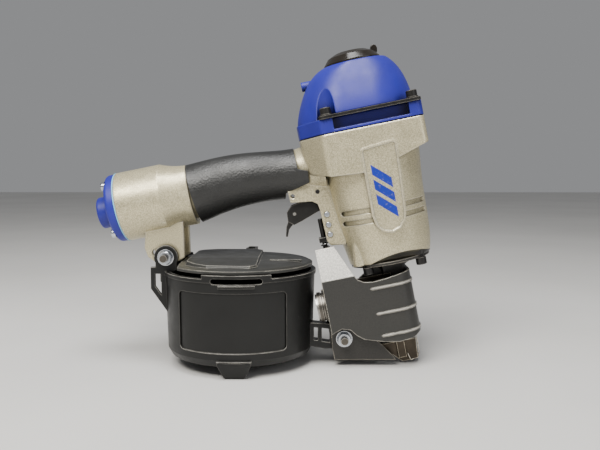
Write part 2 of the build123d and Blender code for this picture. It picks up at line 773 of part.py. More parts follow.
# ---------------------------------------------------------------- nose casting: flange, drive column, nail track
with BuildPart() as nose:
    with BuildSketch(Plane.XY.offset(86.6)):
        Ellipse(32.5, 31.2)
    extrude(amount=body_bottom - 86.6)
    with BuildSketch(Plane.XY.offset(body_bottom)):
        Circle(16.9)
    extrude(amount=6.9)
    # tapering neck below the flange
    with BuildSketch(Plane.XY.offset(79.4)):
        with Locations((-0.3, 0)):
            Ellipse(9, 11.5)
    with BuildSketch(Plane.XY.offset(86.8)):
        Ellipse(24, 12.4)
    loft()
    # drive column and its nozzle
    with BuildSketch(Plane.XY.offset(28.6)):
        with Locations((-0.3, 0)):
            RectangleRounded(19.4, 25, 2.5)
    extrude(amount=58)
    with BuildSketch(Plane.XY.offset(9.7)):
        Circle(5.3)
    extrude(amount=19)
    # back plate of the nail track
    with BuildSketch(Plane.XZ.offset(4)):
        with BuildLine():
            Polyline((-62, 17.7), (-11, 8), (-11, 29), (-5, 31), (-5, 73.2), (-62, 73.2), close=True)
        make_face()
    extrude(amount=4)
    # outer cheek for the magazine's front bolt, joined to the plate by a web
    with BuildSketch(Plane.XZ.offset(18.2)):
        with BuildLine():
            Polyline((-62, 27.5), (-62, 17.7), (-13, 8.1), (-15, 12), (-23, 24), (-36, 41), (-54, 43),
                     (-60.5, 39), close=True)
        make_face()
    extrude(amount=4)
    with BuildSketch(Plane.XZ.offset(8)):
        with BuildLine():
            Polyline((-36, 14.4), (-28.5, 13.0), (-28.5, 27), (-36, 30), close=True)
        make_face()
    extrude(amount=10.2)
    # end wall in front of the feed cylinder
    with BuildSketch(Plane.YZ.offset(-34)):
        with Locations((-21.2, feed_w)):
            Rectangle(16, 24)
    extrude(amount=3)
    with BuildSketch(Plane.XY.offset(49.5)):
        with Locations((-33, -9)):
            Rectangle(5, 10)
    extrude(amount=3)
    with BuildSketch(Plane.XY.offset(70.5)):
        with Locations((-33, -9)):
            Rectangle(5, 10)
    extrude(amount=3)
    # pads for the side shield's screws on the front of the column
    with BuildSketch(Plane.YZ.offset(8)):
        for w in (40, 66):
            with Locations((0, w)):
                Circle(4)
    extrude(amount=2.2)
    with BuildSketch(Plane.XZ.offset(4)):
        with BuildLine():
            Polyline((-29, 72), (-5, 72), (-5, 86), (-14, 86), (-29, 77), close=True)
        make_face()
    extrude(amount=4)
    # lugs for the door's hinge pin
    for w in (14.5, 60.3):
        with BuildSketch(Plane.XY.offset(w)):
            with BuildLine():
                Polyline((-61.5, -4), (-61.5, 12), (-57, 14), (-54.5, 12), (-54.5, 4), (-58.5, 4),
                         (-58.5, -4), close=True)
            make_face()
        extrude(amount=5)
    # ---- cuts: drive channel, nail way, feed slot, cylinder seat, bolts, pins
    with BuildSketch(Plane.XY.offset(5)):
        Circle(channel_r)
    extrude(amount=95, mode=Mode.SUBTRACT)
    with BuildSketch(Plane.XY.offset(28)):
        with Locations((-8, 0)):
            Rectangle(16, 7.4)
    extrude(amount=44, mode=Mode.SUBTRACT)
    with BuildSketch(Plane.XZ.offset(12)):
        with BuildLine():
            Polyline((-36.4, 54), (-10.2, 54), (-10.2, 67), (-36.4, 67), close=True)
        make_face()
    extrude(amount=-11, mode=Mode.SUBTRACT)
    with BuildSketch(Plane.YZ.offset(-70)):
        with Locations((feed_v, feed_w)):
            Circle(feed_r + 0.02)
    extrude(amount=36, mode=Mode.SUBTRACT)
    with BuildSketch(Plane.YZ.offset(-35)):
        with Locations((feed_v, feed_w)):
            Circle(3.05)
    extrude(amount=6, mode=Mode.SUBTRACT)
    with BuildSketch(Plane.XY.offset(80)):
        for u in nose_bolt_u:
            for v in (-nose_bolt_v, nose_bolt_v):
                with Locations((u, v)):
                    Circle(2.5)
    extrude(amount=12, mode=Mode.SUBTRACT)
    with BuildSketch(Plane.XZ.offset(32)):
        with Locations(front_bolt_uw):
            Circle(3.0)
    extrude(amount=-30, mode=Mode.SUBTRACT)
    with BuildSketch(Plane.XZ.offset(4)):
        with Locations(front_bolt_uw):
            Circle(5.0)
    extrude(amount=1.9, mode=Mode.SUBTRACT)
    with BuildSketch(Plane.YZ.offset(4.6)):
        for w in (40, 66):
            with Locations((0, w)):
                Circle(1.5)
    extrude(amount=8, mode=Mode.SUBTRACT)
    with BuildSketch(Plane.XY.offset(5)):
        with Locations((-57.6, 10)):
            Circle(1.53)
    extrude(amount=80, mode=Mode.SUBTRACT)
save_drive(nose.part, "nose_base")

with BuildPart() as nose_bolts:
    with BuildSketch(Plane.XY.offset(80.8)):
        for u in nose_bolt_u:
            for v in (-nose_bolt_v, nose_bolt_v):
                with Locations((u, v)):
                    Circle(4.25)
    extrude(amount=5.8)
    chamfer(nose_bolts.faces().sort_by(Axis.Z)[:4].edges(), 0.4)
    with BuildSketch(Plane.XY.offset(86.6)):
        for u in nose_bolt_u:
            for v in (-nose_bolt_v, nose_bolt_v):
                with Locations((u, v)):
                    Circle(2.5)
    extrude(amount=15.5)
    with BuildSketch(Plane.XY.offset(80)):
        for u in nose_bolt_u:
            for v in (-nose_bolt_v, nose_bolt_v):
                with Locations((u, v)):
                    RegularPolygon(2.3, 6)
    extrude(amount=3.4, mode=Mode.SUBTRACT)
save_drive(nose_bolts.part, "nose_bolts")

# ---------------------------------------------------------------- side door over the nail track
with BuildPart() as door:
    with BuildSketch(Plane.XZ.offset(-4.4)):
        with BuildLine():
            Polyline((-52.4, 17.0), (-11.4, 9.4), (-11.4, 72.5), (-52.4, 72.5), close=True)
        make_face()
    extrude(amount=-5)
    # stiffening ribs and the knuckle round the hinge pin
    for w in (24, 40, 56):
        with BuildSketch(Plane.XZ.offset(-9.4)):
            with Locations((-31, w)):
                SlotOverall(34, 3)
        extrude(amount=-1.4)
    with BuildSketch(Plane.XY.offset(19.9)):
        with Locations((-57.6, 10)):
            Circle(3.0)
        with BuildLine():
            Polyline((-57.6, 13), (-50, 9.4), (-50, 5.2), (-57.6, 7), close=True)
        make_face()
        with Locations((-57.6, 10)):
            Circle(1.55, mode=Mode.SUBTRACT)
    extrude(amount=40)
    # ears for the thumb latch
    for w in (38.2, 52.4):
        with BuildSketch(Plane.XY.offset(w)):
            with Locations((-18, 11.6)):
                RectangleRounded(7, 6.4, 1.5)
        extrude(amount=3.2)
    with BuildSketch(Plane.XY.offset(30)):
        with Locations((-18, 12.4)):
            Circle(1.0)
    extrude(amount=30, mode=Mode.SUBTRACT)
save_drive(door.part, "nose_door")

with BuildPart() as door_pin:
    with BuildSketch(Plane.XY.offset(12.6)):
        with Locations((-57.6, 10)):
            Circle(1.5)
    extrude(amount=54.6)
    with BuildSketch(Plane.XY.offset(65.3)):
        with Locations((-57.6, 10)):
            Circle(2.4)
    extrude(amount=1.9)
save_drive(door_pin.part, "door_hinge_pin")

with BuildPart() as door_latch:
    with BuildSketch(Plane.XY.offset(41.8)):
        with BuildLine():
            Polyline((-20, 11.2), (-16.5, 10.2), (-9, 13.1), (6, 13.1), (8.2, 15.4), (6, 16),
                     (-9, 15.4), (-20, 14.4), close=True)
        make_face()
        with Locations((-18, 12.4)):
            Circle(1.03, mode=Mode.SUBTRACT)
    extrude(amount=10.2)
save_drive(door_latch.part, "door_latch")

with BuildPart() as latch_pin:
    with BuildSketch(Plane.XY.offset(38)):
        with Locations((-18, 12.4)):
            Circle(1.0)
    extrude(amount=17.8)
save_drive(latch_pin.part, "door_latch_pin")

# ---------------------------------------------------------------- air-driven nail feed
with BuildPart() as feed_cylinder:
    with BuildSketch(Plane.YZ.offset(-66)):
        with Locations((feed_v, feed_w)):
            Circle(feed_r)
            Circle(9.5, mode=Mode.SUBTRACT)
    extrude(amount=32)
    # two shallow grooves near the open end
    with BuildSketch(Plane.YZ.offset(-63)):
        with Locations((feed_v, feed_w)):
            Circle(feed_r + 1)
            Circle(feed_r - 0.8, mode=Mode.SUBTRACT)
    extrude(amount=1.2, mode=Mode.SUBTRACT)
save_drive(feed_cylinder.part, "feed_cylinder")

with BuildPart() as feed_cap:
    with BuildSketch(Plane.YZ.offset(-65)):
        with Locations((feed_v, feed_w)):
            Circle(9.5)
    extrude(amount=2.2)
    with BuildSketch(Plane.YZ.offset(-67.5)):
        with Locations((feed_v, feed_w)):
            Circle(11)
    extrude(amount=1.5)
    with BuildSketch(Plane.YZ.offset(-66)):
        with Locations((feed_v, feed_w)):
            Circle(9.5)
    extrude(amount=1)
    with BuildSketch(Plane.YZ.offset(-68)):
        with Locations((feed_v, feed_w)):
            Circle(7.5)
    extrude(amount=1.3, mode=Mode.SUBTRACT)
save_drive(feed_cap.part, "feed_cylinder_cap")

with BuildPart() as feed_piston:
    with BuildSketch(Plane.YZ.offset(-46)):
        with Locations((feed_v, feed_w)):
            Circle(9.45)
    extrude(amount=6)
    with BuildSketch(Plane.YZ.offset(-43.9)):
        with Locations((feed_v, feed_w)):
            Circle(10)
            Circle(8.2, mode=Mode.SUBTRACT)
    extrude(amount=1.8, mode=Mode.SUBTRACT)
    with BuildSketch(Plane.YZ.offset(-40)):
        with Locations((feed_v, feed_w)):
            Circle(3)
    extrude(amount=26)
    # fork that carries the pawl
    for w in (56.4, 63.8):
        with BuildSketch(Plane.XY.offset(w)):
            with Locations((-12.7, -14.4)):
                Rectangle(4, 9)
        extrude(amount=2.8)
    with BuildSketch(Plane.XY.offset(56.4)):
        with Locations((-12.7, -17)):
            Rectangle(4, 3.8)
    extrude(amount=10.2)
    with BuildSketch(Plane.XY.offset(50)):
        with Locations((-12.8, -12)):
            Circle(1.0)
    extrude(amount=20, mode=Mode.SUBTRACT)
save_drive(feed_piston.part, "feed_piston")

with BuildPart() as feed_seal:
    with BuildSketch(Plane.YZ.offset(-43.8)):
        with Locations((feed_v, feed_w)):
            Circle(9.48)
            Circle(8.2, mode=Mode.SUBTRACT)
    extrude(amount=1.6)
save_drive(feed_seal.part, "feed_piston_seal")


feed_coil = coil((0, 0), 6.4, 1.0, 0, 16.6, 3.5)
save_drive(feed_coil.moved(Location((-62.7, feed_v, feed_w), (0, 90, 0))), "feed_spring")

with BuildPart() as pawl:
    with BuildSketch(Plane.XY.offset(59.5)):
        with BuildLine():
            Polyline((-14.4, -13.6), (-11.2, -13.6), (-11.2, -9.4), (-16.6, -1.8), (-19.4, -1.8),
                     (-19.0, -5.2), (-14.4, -10), close=True)
        make_face()
        with Locations((-12.8, -12)):
            Circle(1.03, mode=Mode.SUBTRACT)
    extrude(amount=4)
save_drive(pawl.part, "feed_pawl")

with BuildPart() as pawl_pin:
    with BuildSketch(Plane.XY.offset(56.2)):
        with Locations((-12.8, -12)):
            Circle(1.0)
    extrude(amount=10.6)
save_drive(pawl_pin.part, "pawl_pin")

# ---------------------------------------------------------------- side shield
with BuildPart() as shield:
    with BuildSketch(Plane.XY.offset(20)):
        with BuildLine():
            Line((-60, -31), (-3, -31))
            RadiusArc((-3, -31), (11.8, -17), -14.6)
            Line((11.8, -17), (11.8, 6))
            Line((11.8, 6), (10.2, 6))
            Line((10.2, 6), (10.2, -17))
            RadiusArc((10.2, -17), (-3, -29.4), 13.0)
            Line((-3, -29.4), (-60, -29.4))
            Line((-60, -29.4), (-60, -31))
        make_face()
    extrude(amount=66)
    with BuildSketch(Plane.XZ.offset(40)):
        with BuildLine():
            Polyline((-60.4, 40), (-57.5, 41.5), (-51, 43.5), (-44.4, 41.2), (-40.6, 36), (-35, 31.6),
                     (-20, 26.8), (-8, 24.6), (4, 25.6), (13, 29), (13, 79), (2, 78.2), (-10, 76.6),
                     (-20, 76), (-26.5, 77), (-31.5, 80), (-33.8, 84.2), (-60.4, 84.2), close=True)
        make_face()
    extrude(amount=-80, mode=Mode.INTERSECT)
    # bent-in facet at the rear top corner
    with BuildPart(mode=Mode.PRIVATE) as facet:
        with BuildSketch(Plane.YZ.offset(-60)):
            with BuildLine():
                Polyline((-31, 83), (-29.3, 82.6), (-19.4, 108.4), (-21, 108.4), close=True)
            make_face()
        extrude(amount=30)
        with BuildSketch(Plane.XZ.offset(40)):
            with BuildLine():
                Polyline((-60.4, 82), (-33, 82), (-33.6, 83.4), (-44.6, 108.7), (-60.4, 108.7), close=True)
            make_face()
        extrude(amount=-40, mode=Mode.INTERSECT)
    add(facet.part)
    # three raised ribs that run round the front corner
    for w, first in ((69.5, -23), (49, -22), (30.8, -21)):
        with BuildSketch(Plane.XY.offset(w)):
            with BuildLine():
                Line((first, -30.6), (first + 2, -31.9))
                Line((first + 2, -31.9), (-3, -31.9))
                RadiusArc((-3, -31.9), (12.7, -17), -15.6)
                Line((12.7, -17), (12.7, -4))
                Line((12.7, -4), (11.4, -3))
                Line((11.4, -3), (11.4, -17))
                RadiusArc((11.4, -17), (-3, -30.6), 14.2)
                Line((-3, -30.6), (first, -30.6))
            make_face()
        extrude(amount=1.9)
    with BuildSketch(Plane.YZ.offset(9)):
        for w in (40, 66):
            with Locations((0, w)):
                Circle(1.5)
    extrude(amount=5, mode=Mode.SUBTRACT)
save_drive(shield.part, "side_shield")

with BuildPart() as shield_screws:
    for w in (40, 66):
        with BuildSketch(Plane.YZ.offset(11.8)):
            with Locations((0, w)):
                Circle(2.8)
        extrude(amount=1.7)
        with BuildSketch(Plane.YZ.offset(4.8)):
            with Locations((0, w)):
                Circle(1.5)
        extrude(amount=7)
    fillet(shield_screws.faces().filter_by(Axis.X).group_by(Axis.X)[-1].edges(), 0.8)
save_drive(shield_screws.part, "shield_screws")

# ---------------------------------------------------------------- contact safety: foot, arm, rod, spring
with BuildPart() as foot:
    with BuildSketch(Plane.XY.offset(foot_bottom)):
        Circle(foot_r)
        Circle(5.7, mode=Mode.SUBTRACT)
    extrude(amount=18)
    # lug to the arm and the fin beside the nozzle
    with BuildSketch(Plane.XY.offset(6)):
        with Locations((-5, -9.6)):
            Rectangle(6, 6.4)
    extrude(amount=12)
    with BuildSketch(Plane.XZ.offset(11.4)):
        with BuildLine():
            Polyline((-22.5, 20.2), (-20.5, 16.5), (-9.4, foot_bottom + 3.4), (-7, foot_bottom + 1.4),
                     (5.6, foot_bottom + 1.8), (6.8, 20.2), close=True)
        make_face()
    extrude(amount=1.4)
save_drive(foot.part, "contact_foot")

with BuildPart() as arm:
    with BuildSketch(Plane.XZ.offset(12.8)):
        with BuildLine():
            Polyline((-9.6, 7), (-3.4, 7), (-3.4, 78), (-54, 78), (-54, 74.4), (-9.6, 74.4), close=True)
        make_face()
    extrude(amount=2.4)
    with BuildSketch(Plane.XY.offset(74.4)):
        with Locations((-51, -8.6)):
            Rectangle(6, 12)
    extrude(amount=3.6)
    with BuildSketch(Plane.XY.offset(70)):
        with Locations((-51, -5)):
            Circle(2.0)
    extrude(amount=12, mode=Mode.SUBTRACT)
save_drive(arm.part, "contact_arm")

with BuildPart() as rod:
    with BuildSketch(Plane.XY.offset(74.5)):
        with Locations((-51, -5)):
            Circle(2.0)
    extrude(amount=57)
    fillet(rod.faces().sort_by(Axis.Z)[-1].edges(), 0.8)
save_drive(rod.part, "contact_rod")

save_drive(coil((-51, -5), 3.1, 1.0, 78.1, 111.9, 8), "contact_spring")


# ---------------------------------------------------------------- magazine can
def rim_arc(inner, outer, half_span, middle, bottom, top):
    """Part-ring segment about the drum's axis."""
    with BuildPart() as segment:
        with BuildSketch(Plane.XZ):
            with Locations(((inner + outer) / 2, (bottom + top) / 2)):
                Rectangle(outer - inner, top - bottom)
        revolve(axis=Axis.Z, revolution_arc=2 * half_span)
    return segment.part.rotate(Axis.Z, middle - half_span)


with BuildPart() as can:
    with BuildSketch(Plane.XZ):
        with BuildLine():
            Polyline((0, 6.5), (50.5, 6.5), (57.5, 9.5), (60.2, 14.5), (drum_r, 72), (drum_r, drum_h),
                     (drum_r - wall, drum_h), (drum_r - wall - 0.6, 20), (56, 13), (51, 10.2), (0, 10.2),
                     close=True)
        make_face()
    revolve(axis=Axis.Z)
    # rim bead, raised rim and the ledge under the sight window
    add(rim_arc(drum_r - 1.4, drum_r + 0.7, 180, 0, drum_h - 3, drum_h))
    add(rim_arc(drum_r - 1.5, drum_r + 0.7, 25, -88, drum_h - 1, drum_h + 3))
    add(rim_arc(drum_r - 1, drum_r + 2.2, 12.5, -88, 70.2, 72.4))
    # centre boss that stands on the ground, and three feet
    with BuildSketch(Plane.XY):
        Circle(11)
    extrude(amount=7)
    for angle in (30, 150, 270):
        with BuildPart(mode=Mode.PRIVATE) as tab:
            with BuildSketch(Plane.YZ.offset(50)):
                with BuildLine():
                    Polyline((-13, 14), (-13, 11.5), (-8.5, 1.5), (-7, 0), (7, 0), (8.5, 1.5), (13, 11.5),
                             (13, 14), close=True)
                make_face()
            extrude(amount=12)
            with BuildSketch(Plane.XZ):
                with BuildLine():
                    Polyline((48, 8), (53, 0), (57.5, 0), (61.6, 11), (61.6, 14), (48, 14), close=True)
                make_face()
            extrude(amount=20, both=True, mode=Mode.INTERSECT)
            with BuildSketch(Plane.XY.offset(10.2)):
                Circle(54)
            extrude(amount=10, mode=Mode.SUBTRACT)
        add(tab.part.rotate(Axis.Z, angle))
        add(rim_arc(59.2, 62.3, 12.5, angle, 12.6, 14.2))
    # rear bracket: two webs, top flange and bolt lugs
    for v in (20, -16.3):
        with BuildSketch(Plane.XZ.offset(v)):
            with BuildLine():
                Polyline((-52, 40), (-55, 40), (-71, 63), (-71, 80.5), (-52, 80.5), close=True)
            make_face()
            with BuildLine():
                Polyline((-62.5, 57.5), (-67.6, 65), (-67.6, 75), (-62.5, 75), close=True)
            make_face(mode=Mode.SUBTRACT)
            with Locations(rear_bolt):
                Circle(9.6)
            with Locations((rear_bolt[0], 82)):
                Rectangle(17, 8)
            with Locations(rear_bolt):
                Circle(3.1, mode=Mode.SUBTRACT)
        extrude(amount=-3.7)
    with BuildSketch(Plane.XY.offset(76.5)):
        with Locations((-62, 0)):
            Rectangle(18, 40)
    extrude(amount=2.2)
    # front arm out to the nose
    with BuildSketch(Plane.XZ.offset(8.1)):
        with BuildLine():
            Polyline((54, 16), (70, 13.4), (84, 13.6), (92, 16), (93.4, 24), (88, 31), (78, 33.6),
                     (54, 35), close=True)
        make_face()
        with BuildLine():
            Polyline((61, 20.5), (64.2, 20), (64.2, 30.6), (61, 30.8), close=True)
        make_face(mode=Mode.SUBTRACT)
        with BuildLine():
            Polyline((67.4, 19.4), (74, 18.4), (74, 29.6), (67.4, 30.4), close=True)
        make_face(mode=Mode.SUBTRACT)
        with Locations(to_world(*front_bolt_uw)):
            Circle(3.0, mode=Mode.SUBTRACT)
    extrude(amount=9.9)
    # hinge boss for the lid
    with BuildSketch(Plane.XY.offset(52)):
        with Locations((lid_pin_x, lid_pin_y)):
            Circle(5.4)
    extrude(amount=drum_h - 52)
    # ---- cuts: nail space, throat, window, recessed panels, hinge pin
    with BuildSketch(Plane.XY.offset(10.2)):
        Circle(51)
    with BuildSketch(Plane.XY.offset(20)):
        Circle(drum_r - wall - 0.6)
    with BuildSketch(Plane.XY.offset(drum_h)):
        Circle(drum_r - wall)
    loft(ruled=True, mode=Mode.SUBTRACT)
    with BuildSketch(Plane.XY.offset(14)):
        with Locations((60, 0)):
            Rectangle(20, 15)
    extrude(amount=59, mode=Mode.SUBTRACT)
    with BuildSketch(Plane.XZ.offset(52)):
        with Locations((2.2, 75.3)):
            SlotOverall(39, 4.2)
    extrude(amount=14, mode=Mode.SUBTRACT)
    for side in (-1, 1):
        with BuildPart(mode=Mode.PRIVATE) as panel:
            with BuildSketch(Plane.XZ):
                with BuildLine():
                    Polyline((59.4, 18), (66, 18), (66, 68), (60.9, 68), close=True)
                make_face()
            revolve(axis=Axis.Z)
            with BuildSketch(Plane.XZ):
                with Locations((-2.2, 43)):
                    RectangleRounded(83, 46, 3.2)
            extrude(amount=-70 * side, mode=Mode.INTERSECT)
        add(panel.part, mode=Mode.SUBTRACT)
    with BuildSketch(Plane.XY.offset(56)):
        with Locations((lid_pin_x, lid_pin_y)):
            Circle(2.0)
    extrude(amount=30, mode=Mode.SUBTRACT)
    with BuildSketch(Plane.XY.offset(5)):
        Circle(4.5)
    extrude(amount=8, mode=Mode.SUBTRACT)
save_world(can.part, "magazine_can")

# ---------------------------------------------------------------- nail support and its post
with BuildPart() as post:
    with BuildSketch(Plane.XY.offset(5)):
        Circle(4.5)
    extrude(amount=57)
    chamfer(post.faces().sort_by(Axis.Z)[-1].edges(), 1)
save_world(post.part, "support_post")

with BuildPart() as support:
    with BuildSketch(Plane.XY.offset(14)):
        Circle(50)
        Circle(4.6, mode=Mode.SUBTRACT)
        with PolarLocations(30, 6):
            Circle(8, mode=Mode.SUBTRACT)
    extrude(amount=2.2)
    with BuildSketch(Plane.XY.offset(14)):
        Circle(8.5)
        Circle(4.6, mode=Mode.SUBTRACT)
    extrude(amount=16)
    with BuildSketch(Plane.XY.offset(14)):
        Circle(50)
        Circle(47.8, mode=Mode.SUBTRACT)
    extrude(amount=4)
save_world(support.part, "nail_support")

# ---------------------------------------------------------------- magazine lid
with BuildPart() as lid:
    with BuildSketch(Plane.XZ):
        with BuildLine():
            Polyline((0, 79.2), (56, 79.2), (59.8, 80.4), (59.8, 82.6), (57, 84.0), (45, 85.4), (20, 86.4),
                     (0, 86.8), (0, 84.4), (20, 84.0), (45, 83.0), (54, 82.2), (54, 81.4), (0, 81.4),
                     close=True)
        make_face()
    revolve(axis=Axis.Z)
    with BuildSketch(Plane.XY.offset(79.2)):
        Circle(55)
    extrude(amount=4.6)
    # raised plateau and the two small ribs
    with BuildSketch(Plane.XY.offset(82)):
        with BuildLine():
            Polyline((-41, -36), (-33, -45), (-22, -51.5), (12, -53.5), (18, -48), (19, -28), (19, 30), (12, 38),
                     (-24, 38), (-37, 32), (-41, 24), close=True)
        make_face()
    extrude(amount=6.8, taper=20)
    with BuildSketch(Plane.YZ.offset(-60)):
        with BuildLine():
            Polyline((-62, 84.9), (-24, 88.9), (-24, 95), (-62, 95), close=True)
        make_face()
    extrude(amount=120, mode=Mode.SUBTRACT)
    with BuildSketch(Plane.XY.offset(82)):
        with Locations((38, -18)):
            SlotOverall(26, 1.6)
    extrude(amount=4.6)
    # boss under the latch
    with BuildSketch(Plane.XY.offset(82)):
        with Locations(lid_latch_at):
            Circle(4)
    extrude(amount=3.5)
    # hinge eye
    with BuildSketch(Plane.XY.offset(79.2)):
        with Locations((lid_pin_x, lid_pin_y)):
            Circle(6.2)
        with BuildLine():
            Polyline((-53.5, 33.4), (-40, 20), (-30, 46), (-47, 43.6), close=True)
        make_face()
    extrude(amount=4)
    # rear side cut back clear of the hanger
    with BuildSketch(Plane.XY.offset(70)):
        with BuildLine():
            Polyline((-80, -70), (-46, -70), (-46, 24), (-80, 24), close=True)
        make_face()
    extrude(amount=30, mode=Mode.SUBTRACT)
    with BuildSketch(Plane.XY.offset(70)):
        with Locations((lid_pin_x, lid_pin_y)):
            Circle(2.05)
        with Locations(lid_latch_at):
            Circle(1.5)
    extrude(amount=30, mode=Mode.SUBTRACT)
save_world(lid.part, "magazine_lid")

with BuildPart() as lid_pin:
    with BuildSketch(Plane.XY.offset(56)):
        with Locations((lid_pin_x, lid_pin_y)):
            Circle(2.0)
    extrude(amount=27.8)
    with BuildSketch(Plane.XY.offset(83.8)):
        with Locations((lid_pin_x, lid_pin_y)):
            Circle(4.2)
    extrude(amount=1.8)
    fillet(lid_pin.faces().sort_by(Axis.Z)[-1].edges(), 1.0)
save_world(lid_pin.part, "lid_hinge_pin")

with BuildPart() as lid_latch:
    with BuildSketch(Plane.XY.offset(85.8)):
        with Locations(lid_latch_at):
            Circle(5.4)
        with BuildLine():
            Polyline((0, 53.5), (10.5, 52.5), (10, 66.4), (3, 66.8), close=True)
        make_face()
        with Locations(lid_latch_at):
            Circle(1.55, mode=Mode.SUBTRACT)
    extrude(amount=1.8)
save_world(lid_latch.part, "lid_latch")

with BuildPart() as lid_latch_pin:
    with BuildSketch(Plane.XY.offset(79.4)):
        with Locations(lid_latch_at):
            Circle(1.5)
    extrude(amount=8.4)
    with BuildSketch(Plane.XY.offset(87.8)):
        with Locations(lid_latch_at):
            Circle(3)
    extrude(amount=1.1)
save_world(lid_latch_pin.part, "lid_latch_pin")

# ---------------------------------------------------------------- bolts that hold the magazine
front_xz = to_world(*front_bolt_uw)

with BuildPart() as magazine_bolts:
    with BuildSketch(Plane.XZ.offset(31.5)):
        with Locations(rear_bolt):
            Circle(3.0)
    extrude(amount=-51.5)
    with BuildSketch(Plane.XZ.offset(-20)):
        with Locations(rear_bolt):
            RegularPolygon(5.8, 6)
    extrude(amount=-4)
    with BuildSketch(Plane.XZ.offset(4.2)):
        with Locations(front_xz):
            Circle(4.9)
    extrude(amount=1.7)
    with BuildSketch(Plane.XZ.offset(5.9)):
        with Locations(front_xz):
            Circle(3.0)
    extrude(amount=26.6)
save_world(magazine_bolts.part, "magazine_bolts")

with BuildPart() as magazine_washers:
    for place, y in ((rear_bolt, 20), (front_xz, 22.2)):
        with BuildSketch(Plane.XZ.offset(y)):
            with Locations(place):
                Circle(6.6)
                Circle(3.0, mode=Mode.SUBTRACT)
        extrude(amount=1.3)
save_world(magazine_washers.part, "magazine_washers")

with BuildPart() as magazine_nuts:
    for place, y in ((rear_bolt, 21.3), (front_xz, 23.5)):
        with BuildPart(mode=Mode.PRIVATE) as corners:
            with BuildSketch(Plane.XZ.offset(y)):
                with Locations(place):
                    Circle(5.9)
            extrude(amount=5)
            chamfer(corners.faces().sort_by(Axis.Y)[0].edges(), 1.0)
        with BuildPart(mode=Mode.PRIVATE) as nut:
            with BuildSketch(Plane.XZ.offset(y)):
                with Locations(place):
                    RegularPolygon(5.8, 6)
                    Circle(3.0, mode=Mode.SUBTRACT)
            extrude(amount=5)
            add(corners.part, mode=Mode.INTERSECT)
        add(nut.part)
save_world(magazine_nuts.part, "magazine_nuts")
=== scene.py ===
import json
from math import cos, radians, sin

import bmesh
import bpy
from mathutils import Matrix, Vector


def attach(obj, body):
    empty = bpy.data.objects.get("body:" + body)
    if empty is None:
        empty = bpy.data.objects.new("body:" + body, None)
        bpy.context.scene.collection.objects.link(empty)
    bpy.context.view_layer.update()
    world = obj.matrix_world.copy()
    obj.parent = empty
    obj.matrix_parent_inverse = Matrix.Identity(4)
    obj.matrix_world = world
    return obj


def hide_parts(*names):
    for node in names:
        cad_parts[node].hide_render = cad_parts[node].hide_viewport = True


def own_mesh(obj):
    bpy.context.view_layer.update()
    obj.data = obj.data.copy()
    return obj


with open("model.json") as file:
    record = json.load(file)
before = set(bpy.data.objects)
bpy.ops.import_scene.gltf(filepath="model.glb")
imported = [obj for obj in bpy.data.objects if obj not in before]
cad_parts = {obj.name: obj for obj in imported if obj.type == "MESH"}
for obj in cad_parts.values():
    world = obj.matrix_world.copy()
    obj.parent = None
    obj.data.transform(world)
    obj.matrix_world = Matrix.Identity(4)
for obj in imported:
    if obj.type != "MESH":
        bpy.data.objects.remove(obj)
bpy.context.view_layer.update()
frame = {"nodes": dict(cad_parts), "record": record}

NODES = frame["nodes"]
SLOT_OF = {item["node"]: item["material_slot"] for item in frame["record"]["subparts"]}

# the drive axis leans back, and meets the floor DRIVE_X millimetres forward of the drum's axis
TILT = radians(11.5)
C, S = cos(TILT), sin(TILT)
DRIVE_X = 142
UP_DRIVE, ALONG_DRIVE, ACROSS_TOOL = (-S, 0, C), (C, 0, S), (0, 1, 0)


def place(u, y, w):
    """Drive-axis coordinates in millimetres to the row frame in metres."""
    return Vector(((DRIVE_X + u * C - w * S) / 1000, y / 1000, (u * S + w * C) / 1000))


# ------------------------------------------------------------------ node helpers
def new_mat(name):
    mat = bpy.data.materials.new(name)
    mat.use_nodes = True
    nt = mat.node_tree
    for n in list(nt.nodes):
        nt.nodes.remove(n)
    out = nt.nodes.new("ShaderNodeOutputMaterial")
    bsdf = nt.nodes.new("ShaderNodeBsdfPrincipled")
    nt.links.new(bsdf.outputs["BSDF"], out.inputs["Surface"])
    coord = nt.nodes.new("ShaderNodeTexCoord")
    return mat, nt, bsdf, coord.outputs["Object"]


def noise(nt, vec, scale, detail=4.0, rough=0.55, stretch=None):
    if stretch:
        mapping = nt.nodes.new("ShaderNodeMapping")
        mapping.inputs["Scale"].default_value = stretch
        nt.links.new(vec, mapping.inputs["Vector"])
        vec = mapping.outputs["Vector"]
    n = nt.nodes.new("ShaderNodeTexNoise")
    n.inputs["Scale"].default_value = scale
    n.inputs["Detail"].default_value = detail
    n.inputs["Roughness"].default_value = rough
    nt.links.new(vec, n.inputs["Vector"])
    return n.outputs["Fac"]


def voronoi(nt, vec, scale):
    n = nt.nodes.new("ShaderNodeTexVoronoi")
    n.inputs["Scale"].default_value = scale
    nt.links.new(vec, n.inputs["Vector"])
    return n.outputs["Distance"]


def ramp(nt, fac, stops):
    """Colours set along a grey value; stops are (position, colour) pairs."""
    r = nt.nodes.new("ShaderNodeValToRGB")
    colours = r.color_ramp
    while len(colours.elements) < len(stops):
        colours.elements.new(0.5)
    for element, (position, colour) in zip(colours.elements, stops):
        element.position = position
        element.color = (*colour, 1)
    nt.links.new(fac, r.inputs["Fac"])
    return r.outputs["Color"]


def span(nt, fac, low, high, lo_in=0.3, hi_in=0.7):
    """The value's stretch from lo_in to hi_in spread over low to high, and held flat outside it."""
    m = nt.nodes.new("ShaderNodeMapRange")
    m.inputs["From Min"].default_value = lo_in
    m.inputs["From Max"].default_value = hi_in
    m.inputs["To Min"].default_value = low
    m.inputs["To Max"].default_value = high
    nt.links.new(fac, m.inputs["Value"])
    return m.outputs["Result"]


